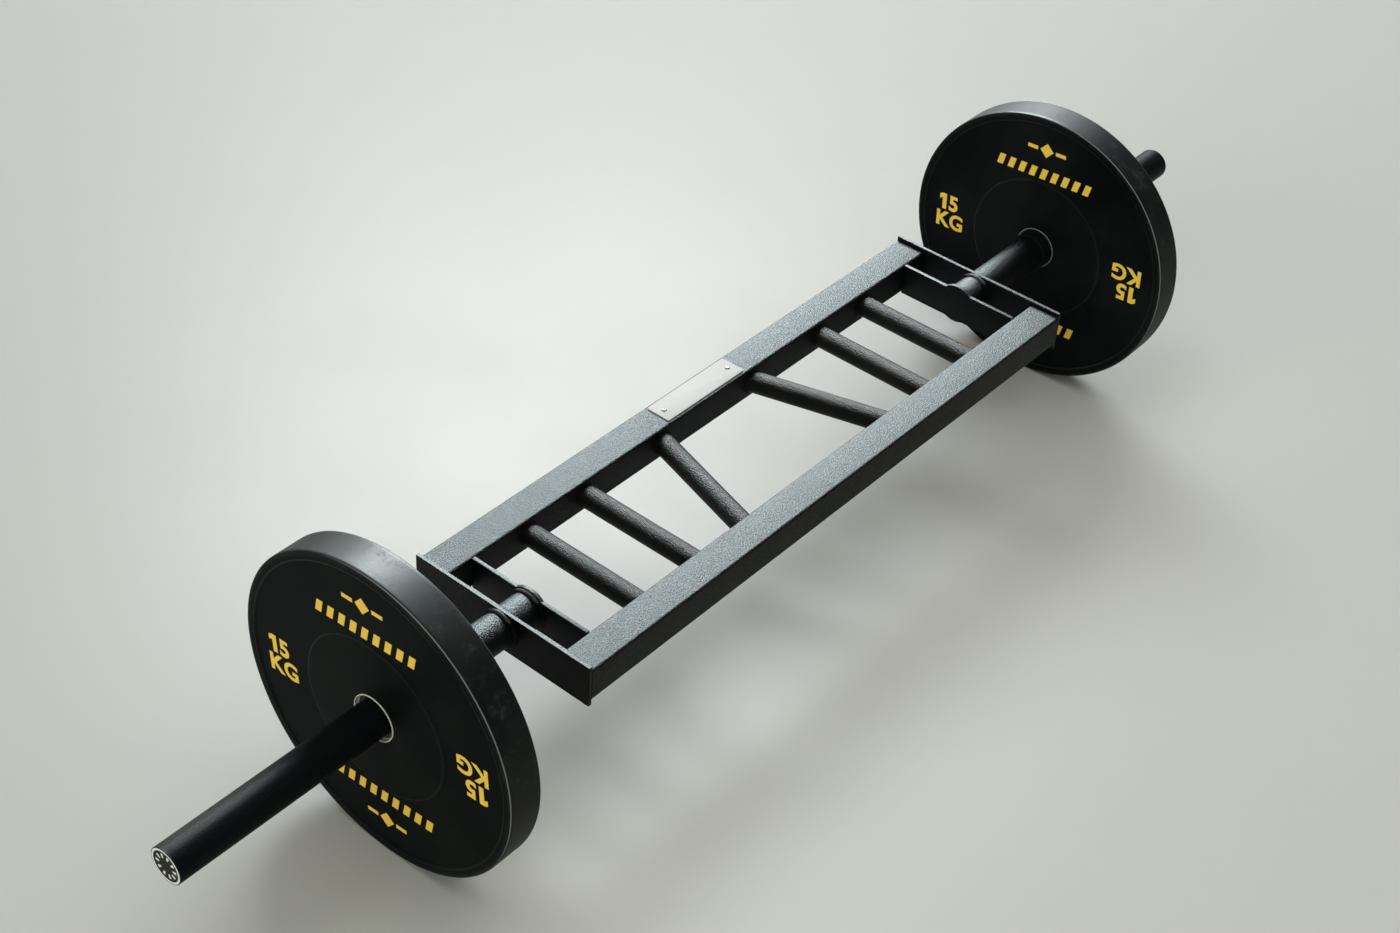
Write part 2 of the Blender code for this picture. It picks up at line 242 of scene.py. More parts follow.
def finish_piece(piece, name, material, body, nodes=(), smooth=30):
    """Name a modelled piece, settle its place into its mesh, and hand it to its body."""
    if bpy.context.mode == "EDIT_MESH":
        bpy.ops.mesh.select_all(action="SELECT")
        bpy.ops.mesh.normals_make_consistent(inside=False)
        bpy.ops.object.mode_set(mode="OBJECT")
    take(piece)
    bpy.ops.object.transform_apply(location=True, rotation=True, scale=True)
    bpy.ops.object.shade_smooth_by_angle(angle=math.radians(smooth))
    piece.name = name
    piece.data.name = name
    if not piece.data.materials:
        piece.data.materials.append(material.material)
    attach(piece, body)
    if nodes:
        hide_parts(*nodes)
    piece.select_set(False)


for name in ("front_rail", "rear_rail"):
    low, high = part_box(name)
    bpy.ops.mesh.primitive_cube_add(size=1.0, location=(low + high) / 2, scale=high - low)
    rail = open_new()
    pick("EDGE", lambda e: abs(e.verts[0].co.x - e.verts[1].co.x) > 0.5)
    bpy.ops.mesh.bevel(offset=RAIL_CORNER, segments=RAIL_CORNER_STEPS, affect="EDGES")
    finish_piece(rail, f"{name}_tube", rail_coat if name == "rear_rail" else frame_coat,
                 "frame", [name])


# End plates and cross plates: 6 mm flat bar, sawn or laser cut, with the burr taken off the edges.
# The cross plates have a round eye that carries the sleeve's inner end.
SIDES = {"left": -1, "right": 1}
PLATE_EDGE = 0.7 * MM
END_PLATE_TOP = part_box("end_plate_left")[1][2]

bar_coat = powder_coat("flat_bar_powder_coat")
bar_up = bar_coat.axis("Z")
end_plate_edge = bar_up.rise(END_PLATE_TOP - 0.9 * MM, END_PLATE_TOP - 0.4 * MM)
cross_plate_edge = bar_up.band(RAIL_TOP, 0.7 * MM, 0.3 * MM)
bar_coat.shader.inputs["Coat Roughness"].default_value = 0.45
bar_coat.set("Coat Weight", (end_plate_edge + cross_plate_edge) * 0.11)


def own_copy(piece):
    """A copy of a piece that has its own mesh and belongs to no body yet."""
    twin = piece.copy()
    twin.data = piece.data.copy()
    twin.parent = None
    for key in list(twin.keys()):
        del twin[key]
    bpy.context.scene.collection.objects.link(twin)
    return twin


def merged_copy(node):
    """A copy of a CAD node with its loose triangles joined into plain faces."""
    piece = own_copy(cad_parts[node])
    take(piece)
    piece.data.materials.clear()
    bpy.ops.object.mode_set(mode="EDIT")
    bpy.ops.mesh.select_all(action="SELECT")
    bpy.ops.mesh.remove_doubles(threshold=0.01 * MM)
    bpy.ops.mesh.dissolve_limited(angle_limit=math.radians(1))
    return piece


for side in SIDES:
    cross_plate = merged_copy(f"cross_plate_{side}")
    pick("EDGE", lambda e: e.calc_face_angle(0.0) > math.radians(60))
    bpy.ops.mesh.bevel(offset=PLATE_EDGE, segments=2, affect="EDGES")
    finish_piece(cross_plate, f"cross_bar_{side}", bar_coat, "frame",
                 [f"cross_plate_{side}"])
    end_plate = merged_copy(f"end_plate_{side}")
    finish_piece(end_plate, f"end_bar_{side}", bar_coat, "frame", [f"end_plate_{side}"])


# Handles: 32 mm round tube, cut to lie against the rails' inner faces and welded all round with a
# small fillet. Their powder coat has a coarser grain than the rails', for grip.
HANDLE_STEPS = 72
HANDLE_LEAN = math.radians(16.6)
HANDLE_SPARE = 40 * MM
FILLET_RADIUS = 1.7 * MM
FILLET_STAND = 0.3 * MM
FILLET_RIPPLES = 23
FILLET_RIPPLE_HEIGHT = 0.22 * MM
HANDLE_DUST = (0.075, 0.064, 0.056, 1.0)
HANDLE_TINT = (0.97, 0.97, 0.96, 1.0)

handle_coat = powder_coat("handle_powder_coat", grain_per_metre=640.0, grain_depth=1.25 * MM,
                          roughness=0.42, dust=0.34, dust_colour=HANDLE_DUST, tint=HANDLE_TINT,
                          shine=0.15)

for side, sign in SIDES.items():
    for kind in ("outer", "inner", "angled"):
        node = f"handle_{kind}_{side}"
        low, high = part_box(node)
        middle = (low + high) / 2
        radius = (high.z - low.z) / 2
        reach = (high.y - low.y) / 2
        lean = HANDLE_LEAN * sign if kind == "angled" else 0.0
        bpy.ops.mesh.primitive_cylinder_add(vertices=HANDLE_STEPS, radius=radius,
                                            depth=2 * reach + HANDLE_SPARE, location=middle,
                                            rotation=(math.pi / 2, 0, lean))
        handle = open_new()
        for face_y, outward in ((middle.y - reach, -1), (middle.y + reach, 1)):
            bpy.ops.mesh.select_all(action="SELECT")
            bpy.ops.mesh.bisect(plane_co=(middle.x, face_y, middle.z), plane_no=(0, outward, 0),
                                use_fill=True, clear_outer=True)
        finish_piece(handle, f"handle_tube_{kind}_{side}", handle_coat, "frame", [node])
        for end in (-1, 1):
            place = (middle.x - end * reach * math.tan(lean), middle.y + end * reach, middle.z)
            bpy.ops.mesh.primitive_torus_add(major_segments=96, minor_segments=10,
                                             major_radius=radius + FILLET_STAND,
                                             minor_radius=FILLET_RADIUS, location=place,
                                             rotation=(math.pi / 2, 0, 0))
            bpy.context.object.scale.x = 1 / math.cos(lean)
            fillet = open_new()
            pick("VERT", lambda v: int(math.atan2(v.co.z - middle.z, v.co.x - place[0])
                                       * 2 * FILLET_RIPPLES / math.tau) % 2 == 0)
            bpy.ops.transform.shrink_fatten(value=FILLET_RIPPLE_HEIGHT)
            finish_piece(fillet, f"handle_fillet_{kind}_{side}_{'rear' if end > 0 else 'front'}",
                         frame_coat, "frame", smooth=60)


# Sleeves: one 50 mm steel tube a side, welded into the end plate and on to the cross plate. The
# frame's coat ends under the stop collar. Plates slide on the rest, which is smoother and faintly
# marked. The left tip's rear top is paler, with scuffs and a painted highlight.
TURN_STEPS = 128
WELD_STEPS = 144
WELD_BEAD = 3.0 * MM
WELD_STAND = 1.1 * MM
WELD_OFF_FACE = 0.6 * MM
WELD_RIPPLE_HEIGHT = 0.28 * MM
AXIS_Z = (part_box("sleeve_left")[0][2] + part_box("sleeve_left")[1][2]) / 2
SLEEVE_RADIUS = 25 * MM
SLEEVE_BLACK = (0.0050, 0.0056, 0.0068, 1.0)
SLEEVE_DUST = (0.022, 0.022, 0.024, 1.0)
SLEEVE_SCUFF_AND_SHEEN = (0.066, 0.062, 0.060, 1.0)

sleeve_coat = Finish("sleeve_satin_coat", Specular_IOR_Level=0.038, IOR=1.45,
                     Specular_Tint=COAT_TINT)
sleeve_grain = sleeve_coat.noise(520.0, 3.0, 0.68)
sleeve_cloud = sleeve_coat.noise(14.0, 4.0, 0.6)
sleeve_rub = sleeve_coat.noise(260.0, 3.0, 0.7, stretch=(0.03, 1.0, 1.0)).rise(0.55, 0.80)
# Pale scuffs and a painted highlight along the left tip's rear top.
sleeve_rear_top = (sleeve_coat.axis("Z") - AXIS_Z) * 0.75 + sleeve_coat.axis("Y") * 0.66
tip_scuff_and_sheen_mask = (sleeve_coat.axis("X") * -1.0).rise(0.82, 1.00)
tip_scuff_and_sheen_mask = tip_scuff_and_sheen_mask * sleeve_rear_top.rise(SLEEVE_RADIUS * 0.40, SLEEVE_RADIUS * 0.95)
sleeve_dark = sleeve_coat.mix(sleeve_rub * 0.5 * sleeve_cloud, SLEEVE_BLACK, SLEEVE_DUST)
sleeve_scuff_and_sheen = tip_scuff_and_sheen_mask * (sleeve_grain.rise(0.40, 0.60) * 0.5 + 0.5)
sleeve_coat.set("Base Color", sleeve_coat.mix(sleeve_scuff_and_sheen, sleeve_dark, SLEEVE_SCUFF_AND_SHEEN))
sleeve_uneven = (sleeve_grain - 0.5) * 0.4 + (sleeve_cloud - 0.5) * 0.12
sleeve_coat.set("Roughness", 0.38 + sleeve_uneven + sleeve_rub * 0.06)
sleeve_coat.bump(sleeve_grain * 0.8 + sleeve_rub * 0.2, 0.75 * MM)
root_coat = powder_coat("sleeve_root_powder_coat", roughness=0.44, shine=0.30)


def turned_bar(low_x, high_x, radius, steps=TURN_STEPS):
    """A round bar about the sleeves' axis, in edit mode."""
    bpy.ops.mesh.primitive_cylinder_add(vertices=steps, radius=radius, depth=high_x - low_x,
                                        location=((low_x + high_x) / 2, 0, AXIS_Z),
                                        rotation=(0, math.pi / 2, 0))
    return open_new()


def radius_of(point):
    return math.hypot(point.y, point.z - AXIS_Z)


def on_ring(part, x, radius):
    """Whether all of an edge or face lies at one place along the axis and one radius."""
    near = 0.05 * MM
    return all(abs(v.co.x - x) < near and abs(radius_of(v.co) - radius) < near for v in part.verts)


def bore_through():
    """Open the two faces that are selected, and join their rims with a bore."""
    bpy.ops.mesh.delete(type="FACE")
    mesh = bmesh.from_edit_mesh(bpy.context.object.data)
    bpy.ops.mesh.select_mode(type="EDGE")
    bpy.ops.mesh.select_all(action="DESELECT")
    for edge in mesh.edges:
        if edge.is_boundary:
            edge.select_set(True)
    bmesh.update_edit_mesh(bpy.context.object.data)
    bpy.ops.mesh.bridge_edge_loops()


def weld_bead(name, x, nodes):
    """A ring of weld round the sleeve, with the ripples that the torch leaves."""
    bpy.ops.mesh.primitive_torus_add(major_segments=WELD_STEPS, minor_segments=14,
                                     major_radius=SLEEVE_RADIUS + WELD_STAND, minor_radius=WELD_BEAD,
                                     location=(x, 0, AXIS_Z), rotation=(0, math.pi / 2, 0))
    bead = open_new()
    pick("VERT", lambda v: int((math.atan2(v.co.z - AXIS_Z, v.co.y) / math.tau + 0.5)
                               * WELD_STEPS + 0.5) % 4 < 2)
    bpy.ops.transform.shrink_fatten(value=WELD_RIPPLE_HEIGHT)
    bpy.ops.mesh.select_all(action="SELECT")
    bpy.ops.mesh.vertices_smooth(factor=0.5, repeat=1)
    finish_piece(bead, name, frame_coat, "frame", nodes, smooth=60)


for side, sign in SIDES.items():
    low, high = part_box(f"sleeve_{side}")
    tip_x, root_x = (high[0], low[0]) if sign > 0 else (low[0], high[0])
    mask_x = sum(corner[0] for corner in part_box(f"stop_collar_{side}")) / 2
    tube = turned_bar(min(tip_x, mask_x), max(tip_x, mask_x), SLEEVE_RADIUS)
    finish_piece(tube, f"sleeve_tube_{side}", sleeve_coat, "frame", [f"sleeve_{side}"])
    root = turned_bar(min(root_x, mask_x), max(root_x, mask_x), SLEEVE_RADIUS)
    finish_piece(root, f"sleeve_root_{side}", root_coat, "frame")
    for seat in ("outer", "inner", "cross"):
        low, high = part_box(f"weld_{seat}_{side}")
        # The inner bead is welded to a face on its outboard side, and the other two to one inboard
        face_x = max(low[0], high[0], key=abs) if seat == "inner" else min(low[0], high[0], key=abs)
        away = -sign if seat == "inner" else sign
        weld_bead(f"weld_bead_{seat}_{side}", face_x + away * WELD_OFF_FACE, [f"weld_{seat}_{side}"])


# End caps: moulded black plastic pushed into the sleeve, printed white with a ring near the edge
# and a circle of plain ticks. The middle is slightly dished.
CAP_EDGE = 0.6 * MM
CAP_RING = 22.4 * MM
CAP_TICKS = 14.5 * MM
CAP_TICK_COUNT = 10.0
CAP_FLANGE = 2 * MM
CAP_DISH_RADIUS = 20 * MM
CAP_DISH_SLOPE = 0.6 * MM
CAP_DISH_DEPTH = 0.35 * MM
CAP_DISH_BAND = 6 * MM
CAP_BLACK = (0.0030, 0.0030, 0.0030, 1.0)
CAP_WHITE = (0.84, 0.84, 0.82, 1.0)

cap_plastic = Finish("cap_printed_plastic", Specular_IOR_Level=0.2)
cap_across, cap_up = cap_plastic.axis("Y"), cap_plastic.axis("Z") - AXIS_Z
cap_radius = distance(cap_across, cap_up)
cap_swing = (cap_up.angle_from(cap_across) * CAP_TICK_COUNT).cosine()
cap_print = cap_radius.band(CAP_RING, 1.4 * MM, 0.12 * MM)
cap_print = cap_print + cap_radius.band(CAP_TICKS, 3.0 * MM, 0.12 * MM) * cap_swing.rise(0.30, 0.50)
cap_grain = cap_plastic.noise(1100.0, 3.0, 0.7)
cap_print = cap_print * (1.0 - cap_grain.rise(0.60, 0.75) * 0.5)
cap_plastic.set("Base Color", cap_plastic.mix(cap_print, CAP_BLACK, CAP_WHITE))
cap_plastic.set("Roughness", 0.5 + (cap_grain - 0.5) * 0.3)
cap_plastic.bump(cap_grain, 0.08 * MM)

for side, sign in SIDES.items():
    low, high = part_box(f"sleeve_cap_{side}")
    outer_x = high[0] if sign > 0 else low[0]
    flange_x = outer_x - sign * CAP_FLANGE
    cap = turned_bar(min(outer_x, flange_x), max(outer_x, flange_x), SLEEVE_RADIUS)
    pick("EDGE", lambda e: on_ring(e, outer_x, SLEEVE_RADIUS))
    bpy.ops.mesh.bevel(offset=CAP_EDGE, segments=3, affect="EDGES")
    pick("FACE", lambda f: len(f.verts) > 8 and abs(f.calc_center_median().x - outer_x) < 0.1 * MM)
    bpy.ops.mesh.inset(thickness=SLEEVE_RADIUS - CAP_EDGE - CAP_DISH_RADIUS, depth=0.0)
    bpy.ops.mesh.inset(thickness=CAP_DISH_SLOPE, depth=-CAP_DISH_DEPTH)
    bpy.ops.mesh.inset(thickness=CAP_DISH_BAND, depth=0.0)
    finish_piece(cap, f"end_cap_{side}", cap_plastic, "frame", [f"sleeve_cap_{side}"])


# Stop collars: a short steel ring, turned with well rounded edges and fixed on each sleeve, which the
# plate is pushed against. It has the same smooth coat as the sleeve.
COLLAR_RADIUS = 30 * MM
COLLAR_EDGE = 2.2 * MM
COLLAR_PLAY = 0.4 * MM


def turned_ring(low_x, high_x, radius, edge, face_steps, edge_steps=4, fullness=0.5, steps=TURN_STEPS):
    """A bored ring: its rims rounded, and both faces stepped in by a width and a height at a time."""
    ring = turned_bar(low_x, high_x, radius, steps)
    pick("EDGE", lambda e: on_ring(e, low_x, radius) or on_ring(e, high_x, radius))
    bpy.ops.mesh.bevel(offset=edge, segments=edge_steps, profile=fullness, affect="EDGES")
    pick("FACE", lambda f: len(f.verts) > 8)
    for width, height in face_steps:
        bpy.ops.mesh.inset(thickness=width, depth=height)
    bore_through()
    return ring


for side in SIDES:
    low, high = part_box(f"stop_collar_{side}")
    collar_face = COLLAR_RADIUS - COLLAR_EDGE - SLEEVE_RADIUS - COLLAR_PLAY
    collar = turned_ring(low[0], high[0], COLLAR_RADIUS, COLLAR_EDGE, [(collar_face, 0.0)])
    finish_piece(collar, f"collar_ring_{side}", sleeve_coat, "frame",
                 [f"stop_collar_{side}"])


# Bumper plates: black virgin rubber moulded on a steel hub. The rim and the boss stand proud of
# the web between them, and the tread carries pale scuffs from the floor.
TREAD_RADIUS = 225 * MM
RIM_BAND = 13 * MM
TREAD_CORNER = 7 * MM
WEB_DEPTH = 2 * MM
WEB_SLOPE = 1.4 * MM
STEP_EDGE = 0.9 * MM
BOSS_RADIUS = 115 * MM
HUB_RADIUS = 33 * MM
HUB_GAP = 0.4 * MM
RIM_EDGE_RADIUS = TREAD_RADIUS - RIM_BAND
CORNER_LINE_RADIUS = TREAD_RADIUS - 1.4 * MM
TREAD_FADE = (TREAD_RADIUS - 9 * MM, TREAD_RADIUS - 1.5 * MM)
RUBBER_STEPS = 192
RUBBER_BLACK = (0.0032, 0.0041, 0.0045, 1.0)
RUBBER_PALE = (0.056, 0.062, 0.060, 1.0)
RUBBER_EDGE_WEAR_AND_GLINT = (0.24, 0.26, 0.26, 1.0)


def moulded_rubber(name):
    """Matt black rubber: a faint mould grain, hazy bloom, scuffs and dust round the tread, and a pale
    line of wear and painted highlight on the tread's front top corner.
    """
    rubber = Finish(name, Specular_IOR_Level=0.045, IOR=1.45, Specular_Tint=COAT_TINT,
                    Coat_Roughness=0.38, Coat_IOR=1.5)
    across, up = rubber.axis("Y"), rubber.axis("Z") - AXIS_Z
    radius = distance(across, up)
    grain = rubber.noise(1100.0, 2.0, 0.6)
    bloom = rubber.noise(7.0, 5.0, 0.6)
    scuffs = rubber.noise(46.0, 5.0, 0.72)
    fine_scuffs = rubber.noise(240.0, 3.0, 0.7)
    on_tread = radius.rise(*TREAD_FADE)
    worn = on_tread * scuffs.rise(0.50, 0.72) * (0.35 + 0.65 * fine_scuffs.rise(0.42, 0.62))
    # A pale line round the tread's corner on the front top only: wear and a painted highlight.
    front_top = (1.0 - across.rise(-0.04, 0.10)) * up.rise(-0.17, 0.02)
    corner = radius.band(CORNER_LINE_RADIUS, 0.50 * MM, 0.35 * MM) * front_top
    dusty = bloom.rise(0.35, 0.75) * 0.10 + worn * 0.50 + on_tread * 0.05
    rubber.set("Base Color", rubber.mix(dusty, RUBBER_BLACK, RUBBER_PALE))
    rubber.recolour(corner * (0.55 + 0.45 * fine_scuffs), RUBBER_EDGE_WEAR_AND_GLINT)
    rubber.set("Roughness", 0.50 + (bloom - 0.5) * 0.16 + worn * 0.12)
    polished = (radius.band(BOSS_RADIUS, 1.6 * MM, 0.6 * MM)
                + radius.band(RIM_EDGE_RADIUS, 1.6 * MM, 0.6 * MM))
    rubber.set("Coat Weight", on_tread * (0.15 - worn * 0.10) + polished * 0.26)
    rubber.bump(grain * 0.5 + scuffs * on_tread * 0.5, 0.22 * MM)
    return rubber


tread_rubber = moulded_rubber("bumper_black_rubber")


def half_turn_copy(piece, name, body, node):
    """Make the right side's piece: the left one turned half a turn about the upright line."""
    twin = own_copy(piece)
    twin.data.transform(Matrix.Rotation(math.pi, 4, "Z"))
    twin.name = name
    twin.data.name = name
    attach(twin, body)
    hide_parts(node)


low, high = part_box("bumper_left")
PLATE_FACES = (low[0], high[0])
PLATE_RADIUS = (high[2] - low[2]) / 2
bumper_steps = [(RIM_BAND - TREAD_CORNER, 0.0), (WEB_SLOPE, -WEB_DEPTH),
                (PLATE_RADIUS - RIM_BAND - 2 * WEB_SLOPE - BOSS_RADIUS, 0.0), (WEB_SLOPE, WEB_DEPTH),
                (BOSS_RADIUS - HUB_RADIUS - HUB_GAP, 0.0)]
bumper = turned_ring(low[0], high[0], PLATE_RADIUS, TREAD_CORNER, bumper_steps,
                     edge_steps=10, fullness=0.76, steps=RUBBER_STEPS)
steps_out = (PLATE_RADIUS - RIM_BAND, BOSS_RADIUS)
pick("EDGE", lambda e: any(on_ring(e, x, r) for x in PLATE_FACES for r in steps_out))
bpy.ops.mesh.bevel(offset=STEP_EDGE, segments=3, affect="EDGES")
finish_piece(bumper, "bumper_rubber_left", tread_rubber, "left_plate", ["bumper_left"])
half_turn_copy(bumper, "bumper_rubber_right", "right_plate", "bumper_right")


# Hubs: turned steel bushes that the rubber is moulded on, bored to run on the sleeve. Only the
# thin bright lip and the wall of the recess inside it show. The recess's floor is coloured near
# black, and the inboard end is darker than the outboard one.
HUB_LIP = 1.0 * MM
HUB_RECESS = 6 * MM
HUB_DRAFT = 0.5 * MM
HUB_BORE = 25.4 * MM
HUB_EDGE = 0.2 * MM
RECESS_RADIUS = HUB_RADIUS - HUB_LIP - HUB_DRAFT
TOOL_MARK_PITCH = 0.35 * MM
STEEL_BRIGHT = (0.93, 0.90, 0.83, 1.0)
STEEL_TARNISH = (0.70, 0.67, 0.61, 1.0)
STEEL_INBOARD_DARK = (0.02, 0.02, 0.02, 1.0)
STEEL_RECESS_BLACK = (0.004, 0.004, 0.004, 1.0)

hub_steel = Finish("hub_turned_steel")
hub_radius = distance(hub_steel.axis("Y"), hub_steel.axis("Z") - AXIS_Z)
tool_marks = (hub_radius * (math.tau / TOOL_MARK_PITCH)).sine()
hub_tarnish = hub_steel.noise(90.0, 4.0, 0.6)
hub_inside = 1.0 - hub_radius.rise(RECESS_RADIUS - 1.2 * MM, RECESS_RADIUS - 0.3 * MM)
inboard_x = abs(PLATE_FACES[1])
hub_inboard = 1.0 - abs(hub_steel.axis("X")).rise(inboard_x + 10 * MM, inboard_x + 40 * MM)
hub_steel.set("Base Color", hub_steel.mix(hub_tarnish.rise(0.4, 0.8), STEEL_BRIGHT, STEEL_TARNISH))
hub_steel.recolour(hub_inboard * 0.72, STEEL_INBOARD_DARK)
hub_steel.recolour(hub_inside, STEEL_RECESS_BLACK)
hub_steel.set("Metallic", 0.25 - hub_inside * 0.25)
hub_steel.set("Roughness", 0.40 + (hub_tarnish - 0.5) * 0.25)
hub_steel.bump(tool_marks * 0.5 + 0.5, 0.03 * MM)

low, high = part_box("hub_left")
hub_steps = [(HUB_LIP - HUB_EDGE, 0.0), (HUB_DRAFT, -HUB_RECESS), (RECESS_RADIUS - HUB_BORE, 0.0)]
hub = turned_ring(low[0], high[0], HUB_RADIUS, HUB_EDGE, hub_steps, edge_steps=2)
finish_piece(hub, "hub_bush_left", hub_steel, "left_hub", ["hub_left"])
half_turn_copy(hub, "hub_bush_right", "right_hub", "hub_right")


# Weight marks: yellow print on both faces of each plate. A 15 over KG stands at each side, the
# right one turned over, and a plain dashed stripe under a lozenge lies above and below the hub.
PRINT_LIFT = 0.12 * MM
PRINT_THICKNESS = 0.25 * MM
ROW_HEIGHT = 28 * MM
ROW_GAP = 4 * MM
MARK_RADIUS = 166 * MM
ONE_LEFT = -19 * MM
FIVE_LEFT = -1 * MM
KG_LEFT = -22.5 * MM
KG_OVERLAP = 1 * MM
LETTER_BOLD = 0.035
G_BOLD = 0.030
DASH_COUNT = 9
DASH_WIDTH = 10.5 * MM
DASH_HEIGHT = 18 * MM
DASH_SLANT = 5 * MM
DASH_PITCH = 19.4 * MM
DASH_LEFT = -86 * MM
DASH_BOTTOM = 121 * MM
LOZENGE_SIDE = 17 * MM
LOZENGE_UP = 171 * MM
BAR_WIDTH = 18 * MM
BAR_HEIGHT = 6 * MM
BAR_NEAR = 16 * MM
PRINT_YELLOW = (1.0, 0.66, 0.08, 1.0)
PRINT_WORN = (0.62, 0.42, 0.06, 1.0)

yellow_print = Finish("yellow_print", Roughness=0.5, Specular_IOR_Level=0.4)
print_wear = yellow_print.noise(420.0, 4.0, 0.7)
print_worn = print_wear.rise(0.60, 0.78) * 0.6
yellow_print.set("Base Color", yellow_print.mix(print_worn, PRINT_YELLOW, PRINT_WORN))
yellow_print.bump(print_wear, 0.05 * MM)


def flat_letter(body, place, height, bold):
    """One bold letter as a flat mesh in the XY plane, with its lower left corner at a place."""
    bpy.ops.object.text_add()
    letter = bpy.context.object
    letter.data.body = body
    letter.data.offset = bold
    letter.data.resolution_u = 6
    bpy.ops.object.convert(target="MESH")
    letter = bpy.context.object
    xs = [v.co.x for v in letter.data.vertices]
    ys = [v.co.y for v in letter.data.vertices]
    scale = height / (max(ys) - min(ys))
    letter.data.transform(Matrix.Translation((place[0], place[1], 0)) @ Matrix.Scale(scale, 4)
                          @ Matrix.Translation((-min(xs), -min(ys), 0)))
    return letter, (max(xs) - min(xs)) * scale


def flat_block(left, bottom, width, height):
    bpy.ops.mesh.primitive_plane_add(size=1.0, location=(left + width / 2, bottom + height / 2, 0))
    block = bpy.context.object
    block.scale = (width, height, 1.0)
    bpy.ops.object.transform_apply(location=True, rotation=True, scale=True)
    return block


def flat_one(left, bottom, height):
    """The figure 1: an upright with a flag drawn out of its top left edge."""
    stem = 0.27 * height
    flag = 0.20 * height
    one = flat_block(left + flag, bottom, stem, height)
    bpy.ops.object.mode_set(mode="EDIT")
    bpy.ops.mesh.select_all(action="SELECT")
    bpy.ops.mesh.bisect(plane_co=(0, bottom + 0.70 * height, 0), plane_no=(0, 1, 0))
    pick("EDGE", lambda e: all(abs(v.co.x - left - flag) < 0.01 * MM
                               and v.co.y > bottom + 0.69 * height for v in e.verts))
    bpy.ops.mesh.extrude_region_move(TRANSFORM_OT_translate={"value": (-flag, -0.10 * height, 0)})
    bpy.ops.object.mode_set(mode="OBJECT")
    return one


def join(pieces):
    bpy.ops.object.select_all(action="DESELECT")
    for piece in pieces:
        piece.select_set(True)
    bpy.context.view_layer.objects.active = pieces[0]
    bpy.ops.object.join()
    return bpy.context.object


def weight_mark():
    """15 over KG, centred on the origin."""
    top = ROW_GAP / 2
    bottom = -ROW_GAP / 2 - ROW_HEIGHT
    one = flat_one(ONE_LEFT, top, ROW_HEIGHT)
    five, _ = flat_letter("5", (FIVE_LEFT, top), ROW_HEIGHT, LETTER_BOLD)
    k, k_width = flat_letter("K", (KG_LEFT, bottom), ROW_HEIGHT, LETTER_BOLD)
    g, _ = flat_letter("G", (KG_LEFT + k_width - KG_OVERLAP, bottom), ROW_HEIGHT, G_BOLD)
    return join([one, five, k, g])


def slanted_block(left, bottom, width, height, slant):
    """A flat block whose top is pushed to the right."""
    block = flat_block(left, bottom, width, height)
    bpy.ops.object.mode_set(mode="EDIT")
    pick("EDGE", lambda e: all(v.co.y > bottom + height / 2 for v in e.verts))
    bpy.ops.transform.translate(value=(slant, 0, 0))
    bpy.ops.object.mode_set(mode="OBJECT")
    return block


def dashed_stripe():
    """Nine slanted dashes in a row, with a lozenge between two bars above them."""
    dashes = [slanted_block(DASH_LEFT + i * DASH_PITCH, DASH_BOTTOM, DASH_WIDTH, DASH_HEIGHT, DASH_SLANT)
              for i in range(DASH_COUNT)]
    bars = [flat_block(left, LOZENGE_UP - BAR_HEIGHT / 2, BAR_WIDTH, BAR_HEIGHT)
            for left in (-BAR_NEAR - BAR_WIDTH, BAR_NEAR)]
    lozenge = flat_block(-LOZENGE_SIDE / 2, -LOZENGE_SIDE / 2, LOZENGE_SIDE, LOZENGE_SIDE)
    lozenge.data.transform(Matrix.Translation((0, LOZENGE_UP, 0))
                           @ Matrix.Rotation(math.radians(45), 4, "Z"))
    return join(dashes + bars + [lozenge])


def face_print(name, body, face_x, outward, turn):
    """All the print on one face of a plate, turned on the axis by an angle."""
    marks = []
    for half in (0, 1):
        mark = weight_mark()
        mark.data.transform(Matrix.Rotation(math.pi * half, 4, "Z")
                            @ Matrix.Translation((-MARK_RADIUS, 0, 0)))
        stripe = dashed_stripe()
        stripe.data.transform(Matrix.Rotation(math.pi * half, 4, "Z"))
        marks += [mark, stripe]
    sheet = join(marks)
    take(sheet)
    thick = sheet.modifiers.new("thickness", "SOLIDIFY")
    thick.thickness = PRINT_THICKNESS
    thick.offset = 1.0
    bpy.ops.object.modifier_apply(modifier="thickness")
    # The sheet faces +Z; its right hand side goes to -outward Y and its top to +Z
    stand = Matrix(((0, 0, outward, 0), (outward, 0, 0, 0), (0, 1, 0, 0), (0, 0, 0, 1)))
    place = Matrix.Translation((face_x - outward * (WEB_DEPTH - PRINT_LIFT), 0, AXIS_Z))
    sheet.data.transform(place @ stand @ Matrix.Rotation(turn, 4, "Z"))
    finish_piece(sheet, name, yellow_print, body)


face_print("print_left_outer", "left_plate", PLATE_FACES[0], -1, math.radians(4.1))
face_print("print_left_inner", "left_plate", PLATE_FACES[1], 1, math.radians(-11.0))
face_print("print_right_inner", "right_plate", -PLATE_FACES[1], -1, math.radians(3.3))
face_print("print_right_outer", "right_plate", -PLATE_FACES[0], 1, math.radians(7.0))


# Name plate: a thin satin aluminium strip riveted to the rear rail's top, with its edges rounded
# off. It is left bare.
BADGE_EDGE = 0.4 * MM
BADGE_CORNER = 2.5 * MM
BADGE_PALE = (0.50, 0.47, 0.475, 1.0)
BADGE_DULL = (0.45, 0.42, 0.425, 1.0)

